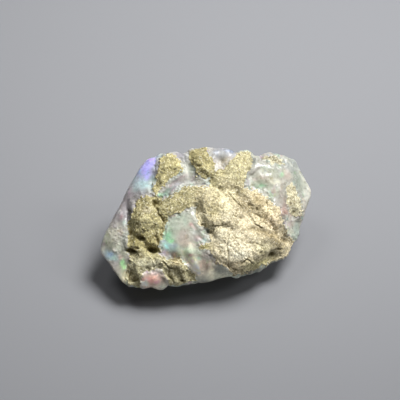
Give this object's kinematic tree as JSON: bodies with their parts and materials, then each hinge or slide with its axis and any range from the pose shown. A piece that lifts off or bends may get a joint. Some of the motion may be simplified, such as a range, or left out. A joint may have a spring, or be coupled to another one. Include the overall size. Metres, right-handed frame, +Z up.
{
  "type": "rough opal specimen",
  "caption": "Loose chunk of pale milky precious opal with flashes of colour, partly covered by a crust of sandy host rock; it rests on a flat broken facet.",
  "frame": {"origin": "on the ground under the middle of the stone's bounding box", "axes": "+X along the stone's long side, to the right as the picture shows it; +Y away from the viewer; +Z up"},
  "size_m": [0.035, 0.0228, 0.0161],
  "materials": {
    "milky_opal_and_sandstone": "glossy translucent opal between dull, gritty, sandy crust"
  },
  "bodies": {
    "root": {"rough_opal": "milky_opal_and_sandstone"}
  },
  "joints": []
}
